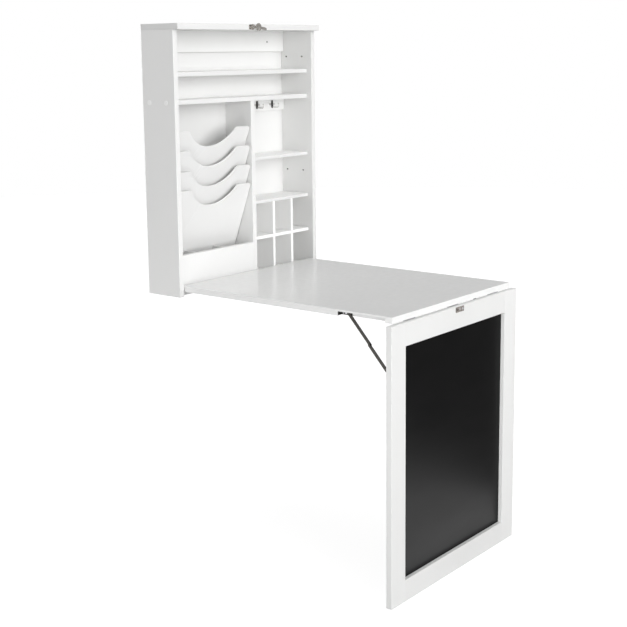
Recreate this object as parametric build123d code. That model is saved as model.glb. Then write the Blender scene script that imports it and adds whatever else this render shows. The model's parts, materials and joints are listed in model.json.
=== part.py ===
from build123d import *
import math
import os

# A wall cabinet with a desk that folds down and a panel leg that folds out under its front.
# X runs along the wall, the room lies towards -Y, and +Z is up. All sizes are in millimetres.
# The origin is on the floor, at the middle of the open desk's footprint.
# "Out" is always a distance from the wall into the room.

# Cabinet
WIDTH = 600.0
BOARD = 16.0
SIDE_DEPTH = 120.0
TOP_DEPTH = 139.0
INNER_DEPTH = 102.0
CABINET_BOTTOM = 705.0
CABINET_TOP = 1440.0
BACK = 3.0

# Shelves, dividers and rails inside the cabinet
SHELF = 12.0
SLIM = 9.0
SHELF_UPPER_Z = 1300.0
SHELF_LOWER_Z = 1225.0
DIVIDER_X = 26.5
RIGHT_SHELF_UPPER_Z = 1053.0
RIGHT_SHELF_LOWER_Z = 926.0
CUBBY_SHELF_Z = 820.0
CUBBY_DIVIDERS_X = (117.0, 200.5)
RACK_RAIL_TOP = 815.0
HANGING_RAIL_HEIGHT = 60.0
HOOK_RAIL_HEIGHT = 37.0

# Magazine rack of four leaning sheets
SHEET = 4.0
SHEET_TOPS = (1153.5, 1097.8, 1042.0, 989.2)
SHEET_TOP_OUT = 99.0
SHEET_LEAN = 20.2
SHEET_LEFT = -282.0
SHEET_RIGHT = 24.5
SHEET_DIP_HALF = 94.0
SHEET_DIP = 52.5
SHEET_CORNER = 10.0
RIB = 6.0
RIBS_X = (-250.0, -13.0)
RIB_FRONT = 76.0
RIB_TOP = 1070.0
GUSSETS_X = (-190.0, -74.0)
GUSSET_TOP = 812.5
LAP_GAP = 0.2

# Desktop
DESK_WIDTH = 560.0
DESK_TOP = 734.0
DESK_REAR = 108.0
DESK_FRONT = 808.0
PIVOT_OUT = 112.0

# Panel leg with its chalkboard
LEG_BACK = 803.0
LEG_FRONT = LEG_BACK + BOARD
LEG_TOP = 715.0
STILE = 61.0
RAIL_TOP = 58.0
RAIL_BOTTOM = 57.0
CHALKBOARD = 5.0
CHALKBOARD_LAP = 7.0

# Hinges between the desktop and the leg
HINGES_X = (-200.0, 0.0, 200.0)
HINGE_LENGTH = 50.0
HINGE_LEAF = 1.2
HINGE_LEAF_WIDTH = 24.0
KNUCKLE_R = 2.4
HINGE_PIN_R = 1.0

# Folding stays between the desktop and the leg
STAY_OUT = 668.0
STAY_Z = 723.0
STAY_R = 4.25
STAY_LAYER = 2.0
STAY_PIN_R = 1.8
RABBET_WIDTH = 18.0
RABBET_DEPTH = 11.0
RABBET_OUT = (643.0, 785.0)

# Swing latch on the top board and its stud on the leg
LATCH_X = -6.0
LATCH_REACH = 26.0
STUD_R = 2.0
STUD_HEAD_R = 3.2

# Key hooks under the lower shelf
KEY_HOOKS_X = (155.0, 225.0)
HOOK_PLATE = 1.2
HOOK_PLATE_R = 3.5
HOOK_SCREW_X = 9.5
HOOK_BAR = 1.6
HOOK_BAR_R = 3.0
HOOK_BAR_RISE = 9.0
PRONG_R = 1.8
PRONG_REACH = 25.0
PRONG_BEND = 5.0
PRONG_RISE = 11.0

# Fasteners
WALL_HOLE_R = 2.5
WALL_HOLES_X = (-208.0, 208.0)
WALL_HOLES_Z = 1392.4
CAP_R = 6.5
CAP_PROUD = 1.0
DOWEL_R = 4.0
SLIM_DOWEL_R = 2.5
CLEARANCE = 0.05
BOARD_DOWEL_R = 3.0
DOWEL_ROWS = (25.0, 85.0)
CAP_ROWS = (25.0, 88.0)
PIN_HOLE_R = 2.5
PIN_HOLES_OUT = (22.5, 84.0)
PIN_HOLES_Z = (1348.5, 1005.0)
NAILS_X = (-200.0, -70.0, 90.0, 240.0)
DIVIDER_NAILS_Z = (790.0, 980.0, 1160.0)
BRADS_X = (-150.0, 0.0, 150.0)
BRADS_Z = (150.0, 357.0, 565.0)

# Derived places
DEPTH = LEG_FRONT + 6.0
WALL_Y = DEPTH / 2
HALF = WIDTH / 2
INNER_X = HALF - BOARD
DESK_HALF = DESK_WIDTH / 2
TOP_UNDER = CABINET_TOP - BOARD
FLOOR_TOP = CABINET_BOTTOM + BOARD
DESK_UNDER = DESK_TOP - BOARD
PIVOT_Z = DESK_TOP - BOARD / 2
DIVIDER_RIGHT = DIVIDER_X + BOARD
HINGE_OUT = (LEG_BACK + LEG_BACK - (DESK_UNDER - LEG_TOP)) / 2
HINGE_Z = (DESK_UNDER + LEG_TOP) / 2
LATCH_Z = CABINET_TOP - BOARD / 2
LEG_LIFT = (HINGE_OUT - PIVOT_OUT) + (PIVOT_Z - HINGE_Z)
STUD_Z = LATCH_Z - LATCH_REACH - LEG_LIFT

nodes = {}
drillings = {}


def board(x_low, x_high, out_near, out_far, z_low, z_high):
    """A square-edged block, placed by its distances out from the wall."""
    size = Box(x_high - x_low, out_far - out_near, z_high - z_low)
    return Pos((x_low + x_high) / 2, WALL_Y - (out_near + out_far) / 2, (z_low + z_high) / 2) * size


def rod_x(radius, x_low, x_high, out, z):
    """A round rod along X."""
    place = Pos((x_low + x_high) / 2, WALL_Y - out, z)
    return place * Rot(0, 90, 0) * Cylinder(radius, x_high - x_low)


def rod_y(radius, x, out_near, out_far, z):
    """A round rod along Y."""
    place = Pos(x, WALL_Y - (out_near + out_far) / 2, z)
    return place * Rot(90, 0, 0) * Cylinder(radius, out_far - out_near)


def rod_z(radius, x, out, z_low, z_high):
    """A round rod along Z."""
    return Pos(x, WALL_Y - out, (z_low + z_high) / 2) * Cylinder(radius, z_high - z_low)


def along_x(radius, x_from, x_to, out, z):
    """A round rod along X between two ends in either order."""
    return rod_x(radius, min(x_from, x_to), max(x_from, x_to), out, z)


def block_x(x_from, x_to, out_near, out_far, z_low, z_high):
    """A block between two X ends in either order."""
    return board(min(x_from, x_to), max(x_from, x_to), out_near, out_far, z_low, z_high)


def add(name, *shapes):
    """Keep a sub-part; shapes given apart stay separate solids."""
    nodes.setdefault(name, []).extend(shapes)


def drill(names, tool):
    """Cut the tool from the named sub-parts once they are all made."""
    for name in names:
        drillings.setdefault(name, []).append(tool)


def add_dowel(node, radius, ends, place, boards, axis="x"):
    """A wooden dowel and the hole that it fills."""
    make = rod_x if axis == "x" else rod_z
    if axis == "x":
        add(node, make(radius, ends[0], ends[1], *place))
        tool = make(radius + CLEARANCE, ends[0] - 0.5, ends[1] + 0.5, *place)
    else:
        add(node, make(radius, *place, ends[0], ends[1]))
        tool = make(radius + CLEARANCE, *place, ends[0] - 0.5, ends[1] + 0.5)
    drill(boards, tool)


def cross_recess(head_r, depth):
    """The cross in a screw's head, centred on the origin and sunk along Z to this depth on both sides."""
    arm = 1.3 * head_r
    width = 0.36 * head_r
    return Box(arm, width, 2 * depth) + Box(width, arm, 2 * depth)


def add_screw_y(node, x, z, head_out, tip_out, head_r, head_thick, shank_r, plates, boards):
    """A screw along Y whose flat head sits flush in a plate; the head end is at head_out."""
    step = 1.0 if tip_out > head_out else -1.0
    shoulder = head_out + step * head_thick
    head = rod_y(head_r, x, min(head_out, shoulder), max(head_out, shoulder), z)
    shank = rod_y(shank_r, x, min(shoulder, tip_out), max(shoulder, tip_out), z)
    screw = head + shank
    if head_r > 2.0:
        screw -= Pos(x, WALL_Y - head_out, z) * Rot(90, 0, 0) * cross_recess(head_r, 0.6 * head_thick)
    add(node, screw)
    hole = rod_y(shank_r + CLEARANCE, x, min(shoulder, tip_out) - 0.5, max(shoulder, tip_out) + 0.5, z)
    seat = rod_y(head_r + CLEARANCE, x, min(head_out, shoulder) - 0.05, max(head_out, shoulder) + 0.05, z)
    drill(plates, seat)
    drill(list(plates) + list(boards), hole)


def make_carcase():
    """Sides, top, bottom, back and the rail that the wall screws go through."""
    for name, sign in (("side_left", -1), ("side_right", 1)):
        add(name, block_x(sign * INNER_X, sign * HALF, 0, SIDE_DEPTH, CABINET_BOTTOM, TOP_UNDER))
    add("top_board", board(-HALF, HALF, 0, TOP_DEPTH, TOP_UNDER, CABINET_TOP))
    add("bottom_board", board(-INNER_X, INNER_X, BACK, INNER_DEPTH, CABINET_BOTTOM, FLOOR_TOP))
    add("back_panel", board(-INNER_X, INNER_X, 0, BACK, CABINET_BOTTOM, TOP_UNDER))
    rail_low = TOP_UNDER - HANGING_RAIL_HEIGHT
    add("hanging_rail", board(-INNER_X, INNER_X, BACK, BACK + SLIM, rail_low, TOP_UNDER))
    for x in WALL_HOLES_X:
        drill(["back_panel", "hanging_rail"], rod_y(WALL_HOLE_R, x, -1, BACK + SLIM + 1, WALL_HOLES_Z))


def sheet_z(top, out):
    """Height of a leaning sheet's front face at a distance out from the wall."""
    return top - (SHEET_TOP_OUT - out) / math.tan(math.radians(SHEET_LEAN))


def leaning(top, shape):
    """Stand a shape drawn in the XZ plane on the leaning front face of the sheet with this top."""
    return Pos(0, WALL_Y - SHEET_TOP_OUT, top) * Rot(SHEET_LEAN, 0, 0) * shape


def gusset(x):
    """A thin web behind the rack's rail, cut back to the front sheet's slope."""
    web = board(x, x + RIB, BACK, INNER_DEPTH - BOARD, FLOOR_TOP, GUSSET_TOP)
    space = Pos(x + RIB / 2, -75 - LAP_GAP, -200) * Box(RIB + 2, 150, 400)
    return web & leaning(SHEET_TOPS[-1], space)


def make_shelves():
    """Two full shelves, the divider, the right-hand shelves and the cubby grid."""
    for name, z in (("shelf_upper", SHELF_UPPER_Z), ("shelf_lower", SHELF_LOWER_Z)):
        add(name, board(-INNER_X, INNER_X, BACK, INNER_DEPTH, z, z + SHELF))
    add("divider", board(DIVIDER_X, DIVIDER_RIGHT, BACK, INNER_DEPTH, FLOOR_TOP, SHELF_LOWER_Z))
    right = (
        ("shelf_right_upper", RIGHT_SHELF_UPPER_Z),
        ("shelf_right_lower", RIGHT_SHELF_LOWER_Z),
        ("shelf_cubby", CUBBY_SHELF_Z),
    )
    for name, z in right:
        add(name, board(DIVIDER_RIGHT, INNER_X, BACK, INNER_DEPTH, z, z + SLIM))
    lap = (BACK + INNER_DEPTH) / 2
    for name, x in zip(("cubby_divider_left", "cubby_divider_right"), CUBBY_DIVIDERS_X):
        add(name, board(x, x + SLIM, BACK, INNER_DEPTH, FLOOR_TOP, RIGHT_SHELF_LOWER_Z))
        shelf_slot = (CUBBY_SHELF_Z - LAP_GAP, CUBBY_SHELF_Z + SLIM + LAP_GAP)
        drill([name], board(x - 1, x + SLIM + 1, lap - LAP_GAP, INNER_DEPTH + 1, *shelf_slot))
        grid_slot = (x - LAP_GAP, x + SLIM + LAP_GAP, BACK - 1, lap + LAP_GAP)
        drill(["shelf_cubby"], board(*grid_slot, CUBBY_SHELF_Z - 1, CUBBY_SHELF_Z + SLIM + 1))
    rail = (INNER_DEPTH - BOARD, INNER_DEPTH, FLOOR_TOP, RACK_RAIL_TOP)
    add("rack_rail", board(-INNER_X, DIVIDER_X, *rail))
    add("rack_gussets", *(gusset(x) for x in GUSSETS_X))
    hook_rail = (BACK, BACK + SLIM, SHELF_LOWER_Z - HOOK_RAIL_HEIGHT, SHELF_LOWER_Z)
    add("hook_rail", board(DIVIDER_RIGHT, INNER_X, *hook_rail))


def make_rack():
    """Four leaning sheets with dipped tops: three half-lap two ribs, and the front one rests on them."""
    middle = (SHEET_LEFT + SHEET_RIGHT) / 2
    floor_gap = 0.5
    for rib, x in zip(("rack_rib_left", "rack_rib_right"), RIBS_X):
        add(rib, board(x, x + RIB, BACK, RIB_FRONT, FLOOR_TOP, RIB_TOP))
    for number, top in enumerate(SHEET_TOPS, start=1):
        name = f"rack_sheet_{number}"
        foot_out = SHEET_TOP_OUT - (top - FLOOR_TOP - floor_gap) * math.tan(math.radians(SHEET_LEAN))
        foot_out = max(foot_out, BACK + SHEET / math.cos(math.radians(SHEET_LEAN)) + floor_gap)
        length = (SHEET_TOP_OUT - foot_out) / math.sin(math.radians(SHEET_LEAN))
        half_width = (SHEET_RIGHT - SHEET_LEFT) / 2
        with BuildSketch(Plane.XZ) as outline:
            with BuildLine():
                Line((-SHEET_DIP_HALF, 0), (-half_width, 0))
                Line((-half_width, 0), (-half_width, -length))
                Line((-half_width, -length), (half_width, -length))
                Line((half_width, -length), (half_width, 0))
                Line((half_width, 0), (SHEET_DIP_HALF, 0))
                ThreePointArc((SHEET_DIP_HALF, 0), (0, -SHEET_DIP), (-SHEET_DIP_HALF, 0))
            make_face()
            tops = [v for v in outline.vertices() if abs(v.Z) < 0.01]
            fillet(tops, SHEET_CORNER)
        sheet = extrude(outline.sketch, SHEET, dir=(0, 1, 0))
        add(name, Pos(middle, 0, 0) * leaning(top, sheet))
        for rib, x in zip(("rack_rib_left", "rack_rib_right"), RIBS_X):
            if number == len(SHEET_TOPS):
                front = Pos(x + RIB / 2, SHEET + LAP_GAP - 75, -length / 2) * Box(RIB + 2, 150, length + 60)
                drill([rib], leaning(top, front))
                continue
            lap_z = (min(sheet_z(top, RIB_FRONT), RIB_TOP) + sheet_z(top, foot_out)) / 2
            rib_space = (x - LAP_GAP, x + RIB + LAP_GAP, 0, SHEET_TOP_OUT + 20)
            drill([name], board(*rib_space, FLOOR_TOP - 30, lap_z + LAP_GAP))
            slot = Pos(x + RIB / 2, SHEET / 2, -length / 2) * Box(RIB + 2, SHEET + 2 * LAP_GAP, length + 60)
            above_lap = board(x - 2, x + RIB + 2, -50, 200, lap_z - LAP_GAP, CABINET_TOP)
            drill([rib], leaning(top, slot) & above_lap)


def make_joinery():
    """Dowels, screws with caps, back panel nails and the loose shelf-pin holes."""
    low_shelves = (("bottom_board", CABINET_BOTTOM + BOARD / 2), ("shelf_upper", SHELF_UPPER_Z + SHELF / 2))
    for sign, side in ((-1, "side_left"), (1, "side_right")):
        for out in DOWEL_ROWS:
            place = (sign * (HALF - BOARD / 2), out)
            add_dowel("carcase_dowels", DOWEL_R, (TOP_UNDER - 14, TOP_UNDER + 10), place,
                      [side, "top_board"], axis="z")
            ends = sorted((sign * (INNER_X - 14), sign * (INNER_X + 10)))
            for name, z in low_shelves:
                add_dowel("carcase_dowels", BOARD_DOWEL_R, ends, (out, z), [side, name])
        for out in CAP_ROWS:
            add_shelf_screw(sign, side, out, SHELF_LOWER_Z + SHELF / 2)
        rail_out = BACK + SLIM / 2
        rail_ends = sorted((sign * (INNER_X - 14), sign * (INNER_X + 10)))
        for z in (TOP_UNDER - 45, TOP_UNDER - 15):
            add_dowel("carcase_dowels", SLIM_DOWEL_R, rail_ends, (rail_out, z), [side, "hanging_rail"])
    right = (
        ("shelf_right_upper", RIGHT_SHELF_UPPER_Z + SLIM / 2, DOWEL_ROWS),
        ("shelf_right_lower", RIGHT_SHELF_LOWER_Z + SLIM / 2, DOWEL_ROWS),
        ("shelf_cubby", CUBBY_SHELF_Z + SLIM / 2, DOWEL_ROWS),
        ("hook_rail", SHELF_LOWER_Z - HOOK_RAIL_HEIGHT / 2, (BACK + SLIM / 2,)),
    )
    for name, z, outs in right:
        for out in outs:
            add_dowel("carcase_dowels", SLIM_DOWEL_R, (INNER_X - 10, INNER_X + 8), (out, z),
                      ["side_right", name])
            add_dowel("carcase_dowels", SLIM_DOWEL_R, (DIVIDER_RIGHT - 7, DIVIDER_RIGHT + 10), (out, z),
                      ["divider", name])
    for z in (FLOOR_TOP + 24, RACK_RAIL_TOP - 24):
        out = INNER_DEPTH - BOARD / 2
        add_dowel("carcase_dowels", BOARD_DOWEL_R, (-INNER_X - 10, -INNER_X + 14), (out, z),
                  ["side_left", "rack_rail"])
        add_dowel("carcase_dowels", BOARD_DOWEL_R, (DIVIDER_X - 14, DIVIDER_X + 7), (out, z),
                  ["divider", "rack_rail"])
    for out in DOWEL_ROWS:
        place = (DIVIDER_X + BOARD / 2, out)
        add_dowel("carcase_dowels", BOARD_DOWEL_R, (FLOOR_TOP - 10, FLOOR_TOP + 14), place,
                  ["bottom_board", "divider"], axis="z")
        add_dowel("carcase_dowels", BOARD_DOWEL_R, (SHELF_LOWER_Z - 14, SHELF_LOWER_Z + 8), place,
                  ["shelf_lower", "divider"], axis="z")
    for z in PIN_HOLES_Z:
        for out in PIN_HOLES_OUT:
            drill(["side_right"], rod_x(PIN_HOLE_R, INNER_X - 1, INNER_X + 9, out, z))
            left = "side_left" if z > SHELF_LOWER_Z else "divider"
            wall = -INNER_X if z > SHELF_LOWER_Z else DIVIDER_RIGHT
            drill([left], rod_x(PIN_HOLE_R, wall - 9, wall + 1, out, z))
    nail_rows = [
        ("bottom_board", CABINET_BOTTOM + BOARD / 2, NAILS_X),
        ("shelf_lower", SHELF_LOWER_Z + SHELF / 2, NAILS_X),
        ("shelf_upper", SHELF_UPPER_Z + SHELF / 2, NAILS_X),
    ]
    for z in DIVIDER_NAILS_Z:
        nail_rows.append(("divider", z, (DIVIDER_X + BOARD / 2,)))
    for name, z, places in nail_rows:
        for x in places:
            add_screw_y("back_panel_nails", x, z, 0, BACK + 13, 2.0, 0.8, 0.8, ["back_panel"], [name])


def add_shelf_screw(sign, side, out, z):
    """A long screw through a side into the lower shelf, under a push-in cap."""
    counterbore = HALF - 4.0
    head_end = HALF - 1.5
    shank_end = INNER_X - 33.0
    head = along_x(4.9, sign * counterbore, sign * head_end, out, z)
    shank = along_x(2.5, sign * shank_end, sign * counterbore, out, z)
    add("shelf_screws", head + shank)
    stem = along_x(4.9, sign * head_end, sign * HALF, out, z)
    disc = along_x(CAP_R, sign * HALF, sign * (HALF + CAP_PROUD), out, z)
    add("screw_caps", stem + disc)
    drill([side], along_x(4.9 + CLEARANCE, sign * counterbore, sign * (HALF + 1), out, z))
    drill([side, "shelf_lower"], along_x(2.5 + CLEARANCE, sign * (shank_end - 0.5), sign * HALF, out, z))


def prong(x, out, z):
    """A round prong that runs into the room, bends up and ends in a ball; z is its lower run's height."""
    bend_out = out + PRONG_REACH - PRONG_BEND
    bend_z = z + PRONG_BEND
    reach = rod_y(PRONG_R, x, out, bend_out, z)
    ring = Pos(x, WALL_Y - bend_out, bend_z) * Rot(0, 90, 0) * Torus(PRONG_BEND, PRONG_R)
    quarter = board(x - 3, x + 3, bend_out, bend_out + PRONG_BEND + 3, bend_z - PRONG_BEND - 3, bend_z)
    rise = rod_z(PRONG_R, x, out + PRONG_REACH, bend_z, z + PRONG_RISE)
    ball = Pos(x, WALL_Y - out - PRONG_REACH, z + PRONG_RISE) * Sphere(PRONG_R + 0.8)
    return reach + (ring & quarter) + rise + ball


def make_key_hooks():
    """Two small metal hooks on the rail under the lower shelf, each on a plate with two screws."""
    face = BACK + SLIM
    z = SHELF_LOWER_Z - HOOK_RAIL_HEIGHT / 2
    front = face + HOOK_PLATE
    for name, x in zip(("key_hook_left", "key_hook_right"), KEY_HOOKS_X):
        hook = board(x - HOOK_SCREW_X, x + HOOK_SCREW_X, face, front, z - HOOK_PLATE_R, z + HOOK_PLATE_R)
        hook += board(x - HOOK_BAR_R, x + HOOK_BAR_R, front - 0.2, front + HOOK_BAR,
                      z - HOOK_BAR_RISE, z + HOOK_BAR_RISE)
        for side in (-1, 1):
            hook += rod_y(HOOK_PLATE_R, x + side * HOOK_SCREW_X, face, front, z)
            hook += rod_y(HOOK_BAR_R, x, front - 0.2, front + HOOK_BAR, z + side * HOOK_BAR_RISE)
        hook += prong(x, front + 0.6, z - HOOK_BAR_RISE)
        add(name, hook)
        for side in (-1, 1):
            add_screw_y("hook_screws", x + side * HOOK_SCREW_X, z, front, BACK + 1.5, 2.2, 0.8, 1.1,
                        [name], ["hook_rail"])


def make_desk_pivots():
    """Steel pins in the sides and flanged bushes in the desktop's rear corners."""
    for sign, side in ((-1, "side_left"), (1, "side_right")):
        inner = sign * (DESK_HALF - 14)
        hole_r = DOWEL_R + CLEARANCE
        add("desk_pivot_pins", along_x(DOWEL_R, inner, sign * (INNER_X + 10), PIVOT_OUT, PIVOT_Z))
        drill([side], along_x(hole_r, sign * (INNER_X - 1), sign * (INNER_X + 10.5), PIVOT_OUT, PIVOT_Z))
        sleeve = along_x(6.0, inner, sign * DESK_HALF, PIVOT_OUT, PIVOT_Z)
        flange = along_x(7.4, sign * DESK_HALF, sign * (DESK_HALF + 3), PIVOT_OUT, PIVOT_Z)
        bore = along_x(hole_r, inner - sign, sign * (DESK_HALF + 4), PIVOT_OUT, PIVOT_Z)
        add("pivot_bushes", sleeve + flange - bore)
        pocket = along_x(6.0 + CLEARANCE, inner - sign * 0.5, sign * (DESK_HALF + 1), PIVOT_OUT, PIVOT_Z)
        drill(["desktop"], pocket)


def make_desktop():
    """One board with a rabbet along each side edge, where the stays fold away."""
    add("desktop", board(-DESK_HALF, DESK_HALF, DESK_REAR, DESK_FRONT, DESK_UNDER, DESK_TOP))
    for sign in (-1, 1):
        rabbet = block_x(sign * (DESK_HALF - RABBET_WIDTH), sign * (DESK_HALF + 1), *RABBET_OUT,
                         DESK_UNDER - 1, DESK_UNDER + RABBET_DEPTH)
        drill(["desktop"], rabbet)


def make_leg():
    """Stiles and rails round a chalkboard that sits in a rabbet behind them."""
    inner = HALF - STILE
    for name, sign in (("leg_stile_left", -1), ("leg_stile_right", 1)):
        add(name, block_x(sign * inner, sign * HALF, LEG_BACK, LEG_FRONT, 0, LEG_TOP))
    add("leg_rail_top", board(-inner, inner, LEG_BACK, LEG_FRONT, LEG_TOP - RAIL_TOP, LEG_TOP))
    add("leg_rail_bottom", board(-inner, inner, LEG_BACK, LEG_FRONT, 0, RAIL_BOTTOM))
    frame = ["leg_stile_left", "leg_stile_right", "leg_rail_top", "leg_rail_bottom"]
    side = inner + CHALKBOARD_LAP
    low = RAIL_BOTTOM - CHALKBOARD_LAP
    high = LEG_TOP - RAIL_TOP + CHALKBOARD_LAP
    gap = 0.5
    drill(frame, board(-side - gap, side + gap, LEG_BACK - 1, LEG_BACK + CHALKBOARD, low - gap, high + gap))
    add("chalkboard", board(-side, side, LEG_BACK, LEG_BACK + CHALKBOARD, low, high))
    edge = CHALKBOARD_LAP / 2
    places = []
    for x, stile in ((-side + edge, "leg_stile_left"), (side - edge, "leg_stile_right")):
        places += [(x, z, stile) for z in BRADS_Z]
    for z, rail in ((high - edge, "leg_rail_top"), (low + edge, "leg_rail_bottom")):
        places += [(x, z, rail) for x in BRADS_X]
    for x, z, member in places:
        add_screw_y("chalkboard_brads", x, z, LEG_BACK, LEG_BACK + 11, 1.6, 0.6, 0.7,
                    ["chalkboard"], [member])
    for sign, stile in ((-1, "leg_stile_left"), (1, "leg_stile_right")):
        ends = sorted((sign * (inner - 20), sign * (inner + 20)))
        for rail, heights in (("leg_rail_top", (LEG_TOP - 38, LEG_TOP - 14)), ("leg_rail_bottom", (14, 36))):
            for z in heights:
                add_dowel("leg_dowels", DOWEL_R, ends, (LEG_BACK + BOARD / 2, z), [stile, rail])


def hinge_spans(middle, first, count):
    """The stretches of X that one leaf's knuckles take up, every second fifth of the hinge."""
    pitch = HINGE_LENGTH / 5
    start = middle - HINGE_LENGTH / 2
    lows = [start + i * pitch for i in range(first, first + 2 * count, 2)]
    return [(low + 0.1, low + pitch - 0.1) for low in lows]


def make_hinges():
    """Three butt hinges in the gap between the desktop's underside and the leg's back."""
    clear = KNUCKLE_R + 0.2
    over_pin = 1.3
    for middle in HINGES_X:
        low, high = middle - HINGE_LENGTH / 2, middle + HINGE_LENGTH / 2
        desk_leaf = board(low, high, HINGE_OUT - HINGE_LEAF_WIDTH, HINGE_OUT - clear,
                          DESK_UNDER - HINGE_LEAF, DESK_UNDER)
        leg_leaf = board(low, high, LEG_BACK - HINGE_LEAF, LEG_BACK,
                         HINGE_Z - HINGE_LEAF_WIDTH, HINGE_Z - clear)
        for x_low, x_high in hinge_spans(middle, 0, 3):
            desk_leaf += board(x_low, x_high, HINGE_OUT - clear - 1, HINGE_OUT - over_pin,
                               DESK_UNDER - HINGE_LEAF, DESK_UNDER)
            desk_leaf += rod_x(KNUCKLE_R, x_low, x_high, HINGE_OUT, HINGE_Z)
        for x_low, x_high in hinge_spans(middle, 1, 2):
            leg_leaf += board(x_low, x_high, LEG_BACK - HINGE_LEAF, LEG_BACK,
                              HINGE_Z - clear - 1, HINGE_Z - over_pin)
            leg_leaf += rod_x(KNUCKLE_R, x_low, x_high, HINGE_OUT, HINGE_Z)
        bore = rod_x(HINGE_PIN_R + CLEARANCE, low - 2, high + 2, HINGE_OUT, HINGE_Z)
        add("hinge_leaves_desk", desk_leaf - bore)
        add("hinge_leaves_leg", leg_leaf - bore)
        add("hinge_pins", rod_x(HINGE_PIN_R, low - 0.5, high + 0.5, HINGE_OUT, HINGE_Z))
        drill(["desktop", "leg_rail_top"], rod_x(KNUCKLE_R + 0.6, low - 1, high + 1, HINGE_OUT, HINGE_Z))
        for x in (middle - 17, middle, middle + 17):
            add_screw_z("hinge_screws_desk", x, HINGE_OUT - 15, DESK_UNDER - HINGE_LEAF, DESK_UNDER + 10,
                        ["hinge_leaves_desk"], ["desktop"])
            add_screw_y("hinge_screws_leg", x, HINGE_Z - 15, LEG_BACK - HINGE_LEAF, LEG_BACK + 11,
                        2.4, 0.8, 1.2, ["hinge_leaves_leg"], ["leg_rail_top"])


def add_screw_z(node, x, out, head_z, tip_z, plates, boards):
    """A flat-head screw driven upwards, flush in its plate."""
    shoulder = head_z + 0.8
    screw = rod_z(2.4, x, out, head_z, shoulder) + rod_z(1.2, x, out, shoulder, tip_z)
    add(node, screw - Pos(x, WALL_Y - out, head_z) * cross_recess(2.4, 0.5))
    drill(plates, rod_z(2.4 + CLEARANCE, x, out, head_z - 0.05, shoulder + 0.05))
    drill(list(plates) + list(boards), rod_z(1.2 + CLEARANCE, x, out, shoulder - 0.5, tip_z + 0.5))


def stay_points():
    """The desk pivot, the middle joint and the leg pivot of a stay, as (out, z) pairs."""
    back = HINGE_OUT - STAY_OUT
    rise = STAY_Z - HINGE_Z
    desk_pivot = (STAY_OUT, STAY_Z)
    leg_pivot = (HINGE_OUT - rise, HINGE_Z - back)
    middle = ((desk_pivot[0] + leg_pivot[0]) / 2, (desk_pivot[1] + leg_pivot[1]) / 2)
    return desk_pivot, middle, leg_pivot


def link(x_from, x_to, start, end):
    """A flat bar with round ends between two (out, z) points."""
    out_run = end[0] - start[0]
    z_run = end[1] - start[1]
    bar = Box(abs(x_to - x_from), math.hypot(out_run, z_run), 2 * STAY_R)
    place = Pos((x_from + x_to) / 2, WALL_Y - (start[0] + end[0]) / 2, (start[1] + end[1]) / 2)
    bar = place * Rot(math.degrees(math.atan2(z_run, -out_run)), 0, 0) * bar
    return bar + along_x(STAY_R, x_from, x_to, *start) + along_x(STAY_R, x_from, x_to, *end)


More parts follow.
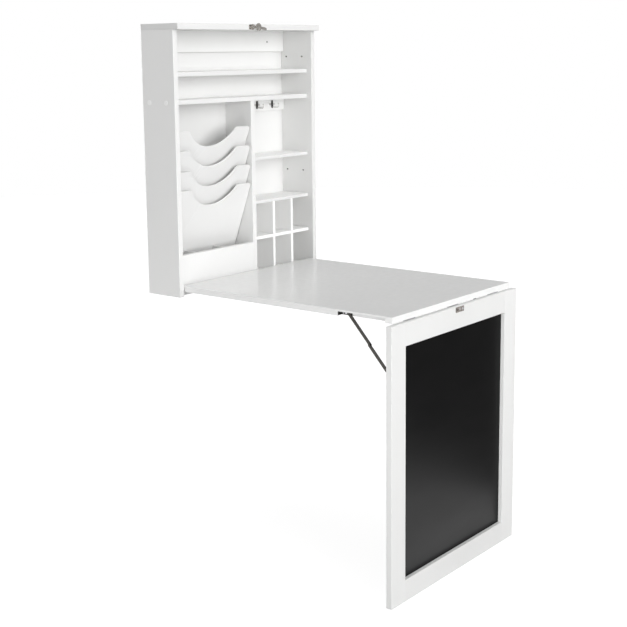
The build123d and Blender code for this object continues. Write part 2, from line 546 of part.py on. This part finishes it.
def make_stay(sign, side):
    """One folding stay: desk bracket, two links that lie side by side, and leg bracket."""
    desk_pivot, middle, leg_pivot = stay_points()
    wall = DESK_HALF - RABBET_WIDTH
    plate = 1.5
    upper_in = wall + 2.0
    upper_out = upper_in + STAY_LAYER
    lower_in = upper_out + 1.0
    lower_out = lower_in + STAY_LAYER
    ear_in = lower_out + 0.4
    ear_out = ear_in + plate
    rear = RABBET_OUT[0]
    low, high = DESK_UNDER + 1.0, DESK_UNDER + RABBET_DEPTH - 1.0
    desk_bracket = f"stay_bracket_desk_{side}"
    bracket = block_x(sign * wall, sign * (wall + plate), rear, desk_pivot[0] + 8, low, high)
    bracket += block_x(sign * wall, sign * (DESK_HALF - 1), rear, rear + 1.2, low, high)
    bracket += along_x(STAY_PIN_R, sign * wall, sign * (upper_out + 0.4), *desk_pivot)
    add(desk_bracket, bracket)
    head_r, shank_r = 2.6, 1.3
    for out in (rear + 6, rear + 14):
        place = (out, (low + high) / 2)
        screw = along_x(head_r, sign * (wall + 0.4), sign * (wall + plate), *place)
        screw += along_x(shank_r, sign * (wall - 12), sign * (wall + 0.4), *place)
        cross = Rot(0, 90, 0) * cross_recess(head_r, 0.6)
        add("stay_screws_desk", screw - Pos(sign * (wall + plate), WALL_Y - out, place[1]) * cross)
        seat = along_x(head_r + CLEARANCE, sign * (wall + 0.35), sign * (wall + plate + 1), *place)
        drill([desk_bracket], seat)
        hole = along_x(shank_r + CLEARANCE, sign * (wall - 12.5), sign * (wall + 1), *place)
        drill([desk_bracket, "desktop"], hole)

    hole = STAY_PIN_R + CLEARANCE
    upper = link(sign * upper_in, sign * upper_out, desk_pivot, middle)
    upper -= along_x(hole, sign * (upper_in - 1), sign * (upper_out + 1), *desk_pivot)
    upper += along_x(3.4, sign * (upper_in - 1.2), sign * upper_in, *middle)
    upper += along_x(3.0, sign * upper_out, sign * (upper_out + 0.4), *middle)
    add(f"stay_upper_{side}", upper)
    lower = link(sign * lower_in, sign * lower_out, leg_pivot, middle)
    lower -= along_x(hole, sign * (lower_in - 1), sign * (lower_out + 1), *leg_pivot)
    lower += along_x(3.4, sign * lower_out, sign * (lower_out + 1.2), *middle)
    lower += along_x(3.0, sign * (lower_in - 0.4), sign * lower_in, *middle)
    add(f"stay_lower_{side}", lower)

    leg_bracket = f"stay_bracket_leg_{side}"
    base_out = (LEG_BACK - plate, LEG_BACK)
    base = block_x(sign * ear_in, sign * (ear_in + 13.6), *base_out, leg_pivot[1] - 18, leg_pivot[1] + 18)
    base += block_x(sign * ear_in, sign * ear_out, leg_pivot[0], base_out[0] + 0.5,
                    leg_pivot[1] - STAY_R, leg_pivot[1] + STAY_R)
    base += along_x(STAY_R, sign * ear_in, sign * ear_out, *leg_pivot)
    base += along_x(STAY_PIN_R, sign * (lower_in - 0.4), sign * ear_out, *leg_pivot)
    base += along_x(3.2, sign * ear_out, sign * (ear_out + 1), *leg_pivot)
    add(leg_bracket, base)
    for z in (leg_pivot[1] - 13, leg_pivot[1] + 13):
        add_screw_y("stay_screws_leg", sign * (ear_in + 8), z, LEG_BACK - plate, LEG_BACK + 11,
                    2.6, 1.0, 1.3, [leg_bracket], [f"leg_stile_{side}"])


def make_latch():
    """A swing hook on the top board's front edge and the stud that it catches on the leg."""
    face = TOP_DEPTH
    base = board(LATCH_X - 12, LATCH_X + 12, face, face + 1.2, LATCH_Z - 6.5, LATCH_Z + 6.5)
    base += rod_y(4.5, LATCH_X, face + 1, face + 2.7, LATCH_Z)
    base += rod_y(3.0, LATCH_X, face + 2, face + 4.4, LATCH_Z)
    base += rod_y(5.5, LATCH_X, face + 4.3, face + 5.4, LATCH_Z)
    add("latch_base", base)
    for x in (LATCH_X - 8.8, LATCH_X + 8.8):
        add_screw_y("latch_screws", x, LATCH_Z, face + 1.2, face - 11, 2.2, 0.8, 1.1,
                    ["latch_base"], ["top_board"])

    layer = (face + 2.75, face + 4.25)
    head_x = LATCH_X + LATCH_REACH
    hook = rod_y(8.0, LATCH_X, *layer, LATCH_Z)
    hook += board(LATCH_X, head_x, *layer, LATCH_Z - 3.5, LATCH_Z + 3.5)
    hook += rod_y(11.0, head_x, *layer, LATCH_Z)
    tail_run, tail_drop = 30.0, 5.0
    tail = Box(math.hypot(tail_run, tail_drop), layer[1] - layer[0], 7.0)
    tail_place = Pos(head_x + tail_run / 2, WALL_Y - (layer[0] + layer[1]) / 2, LATCH_Z - tail_drop / 2)
    hook += tail_place * Rot(0, math.degrees(math.atan2(tail_drop, tail_run)), 0) * tail
    hook += rod_y(3.5, head_x + tail_run, *layer, LATCH_Z - tail_drop)
    hook -= rod_y(3.0 + CLEARANCE, LATCH_X, layer[0] - 1, layer[1] + 1, LATCH_Z)
    throat = STUD_R + 0.4
    hook -= rod_y(throat, head_x, layer[0] - 1, layer[1] + 1, LATCH_Z)
    hook -= board(head_x - throat, head_x + throat, layer[0] - 1, layer[1] + 1, LATCH_Z - 20, LATCH_Z)
    add("latch_hook", hook)

    plate = 1.5
    strike = board(LATCH_X - 7, LATCH_X + 31, LEG_FRONT, LEG_FRONT + plate, STUD_Z - 7, STUD_Z + 7)
    strike += rod_y(STUD_R, LATCH_X, LEG_FRONT + 1, LEG_FRONT + 5.2, STUD_Z)
    strike += rod_y(STUD_HEAD_R, LATCH_X, LEG_FRONT + 5, LEG_FRONT + 6, STUD_Z)
    add("strike_plate", strike)
    for x in (LATCH_X + 11, LATCH_X + 25):
        add_screw_y("strike_screws", x, STUD_Z, LEG_FRONT + plate, LEG_FRONT - 9, 2.8, 1.0, 1.3,
                    ["strike_plate"], ["leg_rail_top"])


def make_all():
    """Make every sub-part, cut its holes and write it."""
    make_carcase()
    make_shelves()
    make_rack()
    make_joinery()
    make_key_hooks()
    make_desk_pivots()
    make_desktop()
    make_leg()
    make_hinges()
    for sign, side in ((-1, "left"), (1, "right")):
        make_stay(sign, side)
    make_latch()
    os.makedirs("parts", exist_ok=True)
    for name, shapes in nodes.items():
        solids = []
        for shape in shapes:
            for tool in drillings.get(name, ()):
                shape -= tool
            solids.extend(shape.solids())
        whole = solids[0] if len(solids) == 1 else Compound(solids)
        export_step(whole, f"parts/{name}.step")


make_all()
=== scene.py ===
import json
import math

import bmesh
import bpy
from mathutils import Matrix, Vector


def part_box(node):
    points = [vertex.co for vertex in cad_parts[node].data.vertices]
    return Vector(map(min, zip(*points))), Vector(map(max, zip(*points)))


# Looks for the wall-mounted fold-down desk. Everything is in metres: the wall is at y = +0.4125,
# the room lies towards -Y, and the floor is z = 0.

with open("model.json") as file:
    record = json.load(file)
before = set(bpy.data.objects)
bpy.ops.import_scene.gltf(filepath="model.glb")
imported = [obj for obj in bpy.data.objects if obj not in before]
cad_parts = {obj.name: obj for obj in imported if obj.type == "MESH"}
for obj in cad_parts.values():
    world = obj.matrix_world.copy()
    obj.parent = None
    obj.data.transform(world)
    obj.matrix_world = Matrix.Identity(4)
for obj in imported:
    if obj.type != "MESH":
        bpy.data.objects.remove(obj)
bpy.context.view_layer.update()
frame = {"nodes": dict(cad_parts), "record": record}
nodes = frame["nodes"]
record = frame["record"]
scene = bpy.context.scene


# ---------------------------------------------------------------- shader helpers

def start_material(name):
    """A new node material with its Principled shader."""
    material = bpy.data.materials.new(name)
    material.use_nodes = True
    tree = material.node_tree
    shader = next(n for n in tree.nodes if n.type == "BSDF_PRINCIPLED")
    return material, tree, shader


def object_space(tree, stretch=(1, 1, 1)):
    """Object coordinates in metres, scaled along each axis."""
    source = tree.nodes.new("ShaderNodeTexCoord")
    mapping = tree.nodes.new("ShaderNodeMapping")
    mapping.inputs["Scale"].default_value = stretch
    tree.links.new(source.outputs["Object"], mapping.inputs["Vector"])
    return mapping.outputs["Vector"]


def noise(tree, vector, scale, detail=2.0, roughness=0.5, distortion=0.0):
    node = tree.nodes.new("ShaderNodeTexNoise")
    node.inputs["Scale"].default_value = scale
    node.inputs["Detail"].default_value = detail
    node.inputs["Roughness"].default_value = roughness
    node.inputs["Distortion"].default_value = distortion
    tree.links.new(vector, node.inputs["Vector"])
    return node.outputs["Fac"]


def remap(tree, value, from_low, from_high, to_low, to_high):
    node = tree.nodes.new("ShaderNodeMapRange")
    node.inputs["From Min"].default_value = from_low
    node.inputs["From Max"].default_value = from_high
    node.inputs["To Min"].default_value = to_low
    node.inputs["To Max"].default_value = to_high
    tree.links.new(value, node.inputs["Value"])
    return node.outputs["Result"]


def blend(tree, value, first, second):
    """Mix first into second; each is a colour or a socket."""
    node = tree.nodes.new("ShaderNodeMix")
    node.data_type = "RGBA"
    for name, colour in (("A", first), ("B", second)):
        if isinstance(colour, tuple):
            node.inputs[name].default_value = (*colour, 1)
        else:
            tree.links.new(colour, node.inputs[name])
    tree.links.new(value, node.inputs["Factor"])
    return node.outputs["Result"]


def combine(tree, operation, first, second=0.0):
    """One Math node; second is a socket or a number, and ABSOLUTE needs none."""
    node = tree.nodes.new("ShaderNodeMath")
    node.operation = operation
    tree.links.new(first, node.inputs[0])
    if isinstance(second, float):
        node.inputs[1].default_value = second
    else:
        tree.links.new(second, node.inputs[1])
    return node.outputs[0]


def vector_step(tree, operation, vector, amount=(0, 0, 0)):
    node = tree.nodes.new("ShaderNodeVectorMath")
    node.operation = operation
    node.inputs[1].default_value = amount
    tree.links.new(vector, node.inputs[0])
    return node.outputs["Vector"]


def dot(tree, vector, axis):
    node = tree.nodes.new("ShaderNodeVectorMath")
    node.operation = "DOT_PRODUCT"
    node.inputs[1].default_value = axis
    tree.links.new(vector, node.inputs[0])
    return node.outputs["Value"]


def split(tree, vector):
    node = tree.nodes.new("ShaderNodeSeparateXYZ")
    tree.links.new(vector, node.inputs[0])
    return node.outputs


def bump(tree, height, distance, strength, below=None):
    node = tree.nodes.new("ShaderNodeBump")
    node.inputs["Distance"].default_value = distance
    node.inputs["Strength"].default_value = strength
    tree.links.new(height, node.inputs["Height"])
    if below is not None:
        tree.links.new(below, node.inputs["Normal"])
    return node.outputs["Normal"]


# ---------------------------------------------------------------- finishes

# Pairs of colours are the pale and the deep shade of a surface, and a gloss is its range of roughness.
BOARD_WHITES = ((0.78, 0.78, 0.774), (0.76, 0.761, 0.754))
# The right side is a darker copy of the board white: painted shade on its inner face.
SIDE_RIGHT_SHADE_PAINTED = ((0.757, 0.757, 0.751), (0.737, 0.738, 0.731))
DESKTOP_WHITES = ((0.755, 0.755, 0.751), (0.733, 0.735, 0.731))
# The desktop's edge faces are painted lighter than its top: a painted highlight.
DESKTOP_EDGE_LIGHT_PAINTED = ((0.84, 0.84, 0.835), (0.82, 0.82, 0.815))
# A darker copy of the board white, painted shade: on the rack sheets and rail, and on the edge faces of the
# divider and sides.
SHADE_PAINTED_WHITES = ((0.715, 0.715, 0.71), (0.695, 0.695, 0.69))
# The back panel is a darker copy of the board white: painted shade.
BACK_SHADE_PAINTED = ((0.7, 0.7, 0.695), (0.68, 0.68, 0.675))
# A paler copy of the board white, painted light: on the cubby dividers, the cubby shelf and the faces of the
# shelves.
LIGHT_PAINTED_WHITES = ((0.89, 0.89, 0.885), (0.87, 0.87, 0.865))
# Darker edge colour, painted shade: on the edge faces of the shelves and the top board.
EDGE_SHADE_PAINTED = ((0.69, 0.69, 0.686), (0.67, 0.67, 0.666))
# Bare fibreboard darkened far below its own colour, as painted shade inside the holes.
FIBREBOARD_DARKENED_AS_SHADE = ((0.03, 0.023, 0.017), (0.014, 0.011, 0.008))
CHALK_BLACKS = ((0.0020, 0.0020, 0.0022), (0.0042, 0.0040, 0.0040))
BOARD_GLOSS = (0.34, 0.46)
BOARD_PEEL, BACK_PEEL, DESKTOP_PEEL = 0.00003, 0.00004, 0.00002
EDGE_FACING = 0.6
HOLE_DEPTH = 0.0004
KEY_BAR_Y = (0.3968, 0.39925)
WIRE_LINES = (150, 1500, 1500)


def on_edge_faces(tree, across):
    """1 on the edge faces of a board whose thickness runs along axis number across, and 0 on its sides; the
    edge colours painted through it are painted light on the desktop and painted shade on the other boards.
    """
    normal = tree.nodes.new("ShaderNodeTexCoord").outputs["Normal"]
    facing = combine(tree, "ABSOLUTE", split(tree, normal)[across])
    return combine(tree, "LESS_THAN", facing, EDGE_FACING)


def in_hole(tree, space, box):
    """1 deeper than HOLE_DEPTH inside the box, which is in the holes drilled in it, and 0 on its outside."""
    low, high = (Vector(corner) for corner in box)
    offset = vector_step(tree, "SUBTRACT", space, (low + high) / 2)
    outside = vector_step(tree, "SUBTRACT", vector_step(tree, "ABSOLUTE", offset), (high - low) / 2)
    x, y, z = split(tree, outside)
    nearest = combine(tree, "MAXIMUM", combine(tree, "MAXIMUM", x, y), z)
    return combine(tree, "LESS_THAN", nearest, -HOLE_DEPTH)


def lacquer(name, pale, deep, gloss, peel=BOARD_PEEL, edge=None, drilled=None, across=2):
    """Sprayed lacquer: a slow drift of tone, uneven gloss and a fine orange peel.

    edge is the pair of colours painted on the board's edge faces, lighter or darker than its sides to paint
    light and shade, and across is the axis of its thickness.
    drilled is the node's box: in its holes, the bare fibreboard shows, darkened far below its own colour as
    painted shade.
    """
    material, tree, shader = start_material(name)
    space = object_space(tree)
    drift = remap(tree, noise(tree, space, 5.0, 3.0, 0.55), 0.3, 0.7, 0, 1)
    colour = blend(tree, drift, pale, deep)
    # Painted light and shade: the edge faces take their own lighter or darker colour.
    if edge:
        colour = blend(tree, on_edge_faces(tree, across), colour, blend(tree, drift, *edge))
    # Painted shade: inside the holes, the bare fibreboard is darkened to near black.
    if drilled:
        fibre_darkened_as_shade = blend(tree, noise(tree, space, 900.0, 3.0, 0.6), *FIBREBOARD_DARKENED_AS_SHADE)
        colour = blend(tree, in_hole(tree, space, drilled), colour, fibre_darkened_as_shade)
    tree.links.new(colour, shader.inputs["Base Color"])
    sheen = noise(tree, space, 60.0, 4.0, 0.6)
    tree.links.new(remap(tree, sheen, 0.25, 0.75, *gloss), shader.inputs["Roughness"])
    peel_normal = bump(tree, noise(tree, space, 420.0, 2.0, 0.5), peel, 0.35)
    dust_normal = bump(tree, noise(tree, space, 2600.0, 1.0, 0.5), peel / 3, 0.25, peel_normal)
    tree.links.new(dust_normal, shader.inputs["Normal"])
    shader.inputs["Specular IOR Level"].default_value = 0.5
    return material


def chalk_paint(name):
    """Matt black board paint with a fine tooth and the faint haze that a wiped cloth leaves."""
    material, tree, shader = start_material(name)
    wiped = noise(tree, object_space(tree, (3.0, 3.0, 11.0)), 1.0, 5.0, 0.65, 0.6)
    speck = noise(tree, object_space(tree), 900.0, 2.0, 0.6)
    haze = combine(tree, "MULTIPLY", remap(tree, wiped, 0.35, 0.75, 0.1, 1.0),
                   remap(tree, speck, 0.3, 0.7, 0.5, 1.0))
    tree.links.new(blend(tree, haze, *CHALK_BLACKS), shader.inputs["Base Color"])
    tree.links.new(remap(tree, wiped, 0.3, 0.7, 0.36, 0.44), shader.inputs["Roughness"])
    tooth = noise(tree, object_space(tree), 1500.0, 2.0, 0.6)
    tree.links.new(bump(tree, tooth, 0.00003, 0.4), shader.inputs["Normal"])
    shader.inputs["Specular IOR Level"].default_value = 0.09
    return material


def brushed_metal(name, pale, deep, gloss, stretch):
    """Plated sheet or wire with fine drawn lines along its length and a patchy tone."""
    material, tree, shader = start_material(name)
    shader.inputs["Metallic"].default_value = 1.0
    patch = noise(tree, object_space(tree), 180.0, 3.0, 0.6)
    tone = blend(tree, remap(tree, patch, 0.3, 0.7, 0, 1), pale, deep)
    tree.links.new(tone, shader.inputs["Base Color"])
    lines = noise(tree, object_space(tree, stretch), 1.0, 3.0, 0.6)
    tree.links.new(remap(tree, lines, 0.3, 0.7, *gloss), shader.inputs["Roughness"])
    tree.links.new(bump(tree, lines, 0.00002, 0.35), shader.inputs["Normal"])
    return material


def key_hook_metal(name):
    """Plated wire and plate, with the bar on the plate coloured near black."""
    material = brushed_metal(name, (0.72, 0.71, 0.69), (0.5, 0.49, 0.475), (0.25, 0.4), (300, 1500, 1500))
    tree = material.node_tree
    shader = next(n for n in tree.nodes if n.type == "BSDF_PRINCIPLED")
    plated = shader.inputs["Base Color"].links[0].from_socket
    space = object_space(tree)
    black = blend(tree, noise(tree, space, 400.0), (0.05, 0.047, 0.045), (0.028, 0.026, 0.025))
    y = split(tree, space)[1]
    front, rear = KEY_BAR_Y
    # A band across the bar is coloured near black.
    on_bar = combine(tree, "MULTIPLY", combine(tree, "GREATER_THAN", y, front),
                     combine(tree, "LESS_THAN", y, rear))
    tree.links.new(blend(tree, on_bar, plated, black), shader.inputs["Base Color"])
    return material


def moulded_plastic(name, pale, deep, gloss):
    """Injection-moulded plastic with a fine spark texture."""
    material, tree, shader = start_material(name)
    space = object_space(tree)
    cloud = noise(tree, space, 90.0, 2.0)
    tree.links.new(blend(tree, cloud, pale, deep), shader.inputs["Base Color"])
    spark = noise(tree, space, 3200.0, 1.0)
    tree.links.new(remap(tree, spark, 0.3, 0.7, *gloss), shader.inputs["Roughness"])
    tree.links.new(bump(tree, spark, 0.00002, 0.3), shader.inputs["Normal"])
    return material


def raw_beech(name):
    """Turned beech: long grain with short dark flecks."""
    material, tree, shader = start_material(name)
    grain = noise(tree, object_space(tree, (40.0, 900.0, 900.0)), 1.0, 4.0, 0.6, 0.4)
    wood = blend(tree, remap(tree, grain, 0.3, 0.7, 0, 1), (0.66, 0.47, 0.29), (0.5, 0.33, 0.19))
    tree.links.new(wood, shader.inputs["Base Color"])
    tree.links.new(remap(tree, grain, 0.3, 0.7, 0.55, 0.75), shader.inputs["Roughness"])
    tree.links.new(bump(tree, grain, 0.00005, 0.4), shader.inputs["Normal"])
    return material


def board(name, whites=BOARD_WHITES, **options):
    """A lacquered board."""
    return lacquer(name, *whites, BOARD_GLOSS, **options)


finishes = {
    "white_board": board("white_board"),
    # The desktop's edges are painted lighter than its top, as a painted highlight.
    "white_desktop": lacquer("white_desktop", *DESKTOP_WHITES, (0.2, 0.27), DESKTOP_PEEL,
                             edge=DESKTOP_EDGE_LIGHT_PAINTED),
    # The back panel is painted darker, as shade.
    "white_back": lacquer("back_drilled", *BACK_SHADE_PAINTED, (0.42, 0.55), BACK_PEEL,
                          drilled=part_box("back_panel")),
    # The rack sheets are a darker copy of the board white: painted shade.
    "white_sheet": lacquer("white_sheet", *SHADE_PAINTED_WHITES, (0.38, 0.5)),
    "chalk_black": chalk_paint("chalk_black"),
    "white_plastic": moulded_plastic("white_plastic", (0.87, 0.87, 0.865), (0.84, 0.84, 0.835), (0.38, 0.5)),
    "grey_plastic": moulded_plastic("grey_plastic", (0.46, 0.46, 0.45), (0.4, 0.4, 0.39), (0.42, 0.55)),
    "beech": raw_beech("beech"),
    "dark_steel": brushed_metal("dark_steel", (0.052, 0.05, 0.046), (0.037, 0.0355, 0.0325), (0.34, 0.46),
                                (2000, 120, 120)),
    "nickel": brushed_metal("nickel", (0.66, 0.63, 0.59), (0.46, 0.435, 0.405), (0.18, 0.3), WIRE_LINES),
    "zinc_steel": brushed_metal("zinc_steel", (0.62, 0.62, 0.64), (0.5, 0.5, 0.52), (0.28, 0.4),
                                (900, 900, 900)),
}

# Nodes whose finish differs from the rest of their slot.
key_hook = key_hook_metal("key_hook_metal")
# Painted light: the cubby dividers, cubby shelf and shelves are paler copies of the board white.
light_painted_board = board("white_board_painted_light", LIGHT_PAINTED_WHITES)
# The shelves: faces painted light, edge faces painted darker as shade.
shelf_board = board("white_shelf", LIGHT_PAINTED_WHITES, edge=EDGE_SHADE_PAINTED)
special = {
    "key_hook_left": key_hook,
    "key_hook_right": key_hook,
    # The strike plate is a darker copy of the nickel: painted shade.
    "strike_plate": brushed_metal("shade_painted_nickel", (0.36, 0.325, 0.3), (0.2, 0.18, 0.168), (0.22, 0.34),
                                  WIRE_LINES),
    "cubby_divider_left": light_painted_board,
    "cubby_divider_right": light_painted_board,
    "shelf_cubby": light_painted_board,
    "shelf_upper": shelf_board,
    "shelf_lower": shelf_board,
    "shelf_right_upper": shelf_board,
    "shelf_right_lower": shelf_board,
    # The top board's edge faces are painted darker: painted shade.
    "top_board": board("white_top_board", edge=EDGE_SHADE_PAINTED),
    # Painted shade: the rack rail, and the edge faces of the divider and sides, are darker copies of the
    # board white.
    "rack_rail": board("white_rail", SHADE_PAINTED_WHITES),
    "divider": board("white_divider", edge=SHADE_PAINTED_WHITES, across=0),
    "hanging_rail": board("rail_drilled", drilled=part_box("hanging_rail")),
    "side_left": board("side_left_drilled", edge=SHADE_PAINTED_WHITES, drilled=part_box("side_left"), across=0),
    # The right side is a darker copy of the board white: painted shade on its inner face.
    "side_right": board("side_right_drilled", SIDE_RIGHT_SHADE_PAINTED, edge=SHADE_PAINTED_WHITES,
                        drilled=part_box("side_right"), across=0),
}

for item in record["subparts"]:
    node = nodes[item["node"]]
    if not node.material_slots:
        node.data.materials.append(None)
    for slot in node.material_slots:
        slot.material = special.get(item["node"], finishes[item["material_slot"]])


# ---------------------------------------------------------------- softened edges

SHARP = math.radians(35)
WELD_DISTANCE = 0.000002

# For each slot: the width of the rounding, and the shortest edge that gets one.
SOFTNESS = {
    "white_board": (0.0008, 0.006),
    "white_desktop": (0.0010, 0.006),
    "white_sheet": (0.0004, 0.0003),
    "white_back": (0.0003, 0.006),
    "nickel": (0.00015, 0.0015),
    "dark_steel": (0.00015, 0.0015),
}


def edge_key(first, second):
    """The same value for an edge and for its duplicates, whichever way they run."""
    ends = [tuple(round(value, 5) for value in point) for point in (first, second)]
    return tuple(sorted(ends))


def sharp_edges(node, shortest):
    """The edges where two faces meet at a sharp angle: the long ones, and the short ones round holes."""
    welded = bmesh.new()
    welded.from_mesh(node.data)
    bmesh.ops.remove_doubles(welded, verts=welded.verts, dist=WELD_DISTANCE)
    long_ones, short_ones = set(), set()
    for edge in welded.edges:
        if len(edge.link_faces) == 2 and edge.calc_face_angle() > SHARP:
            group = long_ones if edge.calc_length() > shortest else short_ones
            group.add(edge_key(*(vert.co for vert in edge.verts)))
    welded.free()
    return long_ones, short_ones


def soften(node, width, shortest):
    """A small radius on the node's edges, which catches the light as a lacquered edge does."""
    mesh = node.data
    rounded, crisp = sharp_edges(node, shortest)
    weights = mesh.attributes.new("bevel_weight_edge", "FLOAT", "EDGE")
    for edge, weight in zip(mesh.edges, weights.data):
        key = edge_key(*(mesh.vertices[index].co for index in edge.vertices))
        weight.value = 1.0 if key in rounded else 0.0
        edge.use_edge_sharp = key in crisp
    weld = node.modifiers.new("weld", "WELD")
    weld.merge_threshold = WELD_DISTANCE
    bevel = node.modifiers.new("edges", "BEVEL")
    bevel.width = width
    bevel.segments = 2
    bevel.limit_method = "WEIGHT"
    bevel.use_clamp_overlap = False
    bevel.harden_normals = True


for item in record["subparts"]:
    if item["material_slot"] in SOFTNESS:
        soften(nodes[item["node"]], *SOFTNESS[item["material_slot"]])


# ---------------------------------------------------------------- studio

METALS = ("dark_steel", "nickel", "zinc_steel")
FRONT_RIGHT = (0.783, -0.622, 0)
CAMERA_PLACE = (-2.641, -2.0325, 1.362)
CAMERA_YAW, CAMERA_PITCH, CAMERA_ROLL = (math.radians(angle) for angle in (51.53, 9.63, -0.61))


def light_only(lamp, group, members):
    """The lamp, or the glowing piece, lights only the members, which are put in a group."""
    lit = bpy.data.collections.new(group)
    for member in members:
        lit.objects.link(member)
    lamp.light_linking.receiver_collection = lit


def floor_disc():
    """A plain pale floor. Its own glow reaches the metal, not the white boards."""
    bpy.ops.mesh.primitive_circle_add(vertices=128, radius=9.0, fill_type="NGON", location=(0, 0, -0.0005))
    disc = bpy.context.object
    disc.name = "floor"
    material, tree, shader = start_material("floor_paper")
    grain = noise(tree, object_space(tree), 30.0, 4.0, 0.6)
    paper = blend(tree, grain, (0.24, 0.24, 0.24), (0.21, 0.21, 0.21))
    tree.links.new(paper, shader.inputs["Base Color"])
    shader.inputs["Roughness"].default_value = 0.9
    shader.inputs["Specular IOR Level"].default_value = 0.1
    shader.inputs["Emission Color"].default_value = (1, 1, 1, 1)
    shader.inputs["Emission Strength"].default_value = 0.9
    disc.data.materials.append(material)
    metals = [nodes[item["node"]] for item in record["subparts"] if item["material_slot"] in METALS]
    light_only(disc, "lit_by_floor", [disc, *metals])


def studio_world():
    """A pale room: white near and under the horizon, dimmer overhead and to the front right."""
    world = bpy.data.worlds.new("studio")
    scene.world = world
    world.use_nodes = True
    tree = world.node_tree
    background = next(n for n in tree.nodes if n.type == "BACKGROUND")
    direction = tree.nodes.new("ShaderNodeTexCoord").outputs["Generated"]
    low, high = math.sin(math.radians(3)), math.sin(math.radians(9))
    overhead = remap(tree, dot(tree, direction, (0, 0, 1)), low, high, 1.0, 0.4)
    corner = remap(tree, dot(tree, direction, FRONT_RIGHT), 0.48, 0.8, 1.0, 0.5)
    background.inputs["Color"].default_value = (1, 1, 1, 1)
    tree.links.new(combine(tree, "MULTIPLY", overhead, corner), background.inputs["Strength"])


def soft_sun(name, towards, strength, spread):
    """Soft light from far away, the same everywhere. towards points at its source; spread is in degrees."""
    data = bpy.data.lights.new(name, "SUN")
    data.energy = strength
    data.angle = math.radians(spread)
    lamp = bpy.data.objects.new(name, data)
    scene.collection.objects.link(lamp)
    lamp.rotation_euler = Vector(towards).to_track_quat("Z", "Y").to_euler()
    return lamp


def soft_box(name, place, target, size, power):
    """A rectangular area light that faces target, and that the camera doesn't see."""
    data = bpy.data.lights.new(name, "AREA")
    data.shape = "RECTANGLE"
    data.size, data.size_y = size
    data.energy = power
    lamp = bpy.data.objects.new(name, data)
    scene.collection.objects.link(lamp)
    lamp.location = place
    lamp.rotation_euler = (Vector(target) - Vector(place)).to_track_quat("-Z", "Y").to_euler()
    lamp.visible_camera = False
    return lamp


def photo_camera():
    """The reference view: from the left at eye height, looking right and slightly down."""
    data = bpy.data.cameras.new("camera")
    camera = bpy.data.objects.new("camera", data)
    scene.collection.objects.link(camera)
    yaw, pitch, roll = CAMERA_YAW, CAMERA_PITCH, CAMERA_ROLL
    ahead = Vector((math.sin(yaw) * math.cos(pitch), math.cos(yaw) * math.cos(pitch), -math.sin(pitch)))
    level = Vector((math.cos(yaw), -math.sin(yaw), 0))
    upright = level.cross(ahead)
    right = level * math.cos(roll) + upright * math.sin(roll)
    up = upright * math.cos(roll) - level * math.sin(roll)
    turn = Matrix((right, up, -ahead)).transposed()
    camera.matrix_world = Matrix.Translation(CAMERA_PLACE) @ turn.to_4x4()
    data.sensor_width = 36.0
    data.lens = 70.48
    data.shift_y = -0.0853
    data.clip_start = 0.05
    scene.camera = camera


floor_disc()
studio_world()
soft_sun("key", (-0.17, -0.96, 0.2), 2.2, 50)
soft_sun("from_floor", (-0.15, -0.97, -0.15), 1.35, 60)
beside_leg = soft_box("beside_leg", (-1.5, -0.8, 0.12), (-0.3, -0.35, 0.4), (0.8, 0.8), 9.5)
light_only(beside_leg, "all_but_board", [node for name, node in nodes.items() if name != "chalkboard"])
soft_box("beside_cabinet", (-1.4, 0.35, 0.1), (-0.3, 0.35, 0.6), (0.7, 0.7), 4.6)
board_glow = soft_box("board_glow", (0.1, -0.87, 0.002), (0.1, -0.87, 1.0), (0.9, 0.9), 5.5)
light_only(board_glow, "only_board", [nodes["chalkboard"]])
soft_sun("overhead", (0.0, -0.15, 1.0), 0.9, 50)
soft_sun("from_behind", (0.05, 1.0, 0.0), 1.9, 15)
across_leg = soft_sun("across_leg", (-0.98, -0.15, 0.1), 1.15, 20)
light_only(across_leg, "right_stile", [nodes["leg_stile_right"]])
photo_camera()

scene.view_settings.view_transform = "Standard"
scene.view_settings.look = "None"
scene.view_settings.exposure = 0.0
scene.view_settings.gamma = 1.0
scene.cycles.max_bounces = 12
scene.cycles.diffuse_bounces = 8
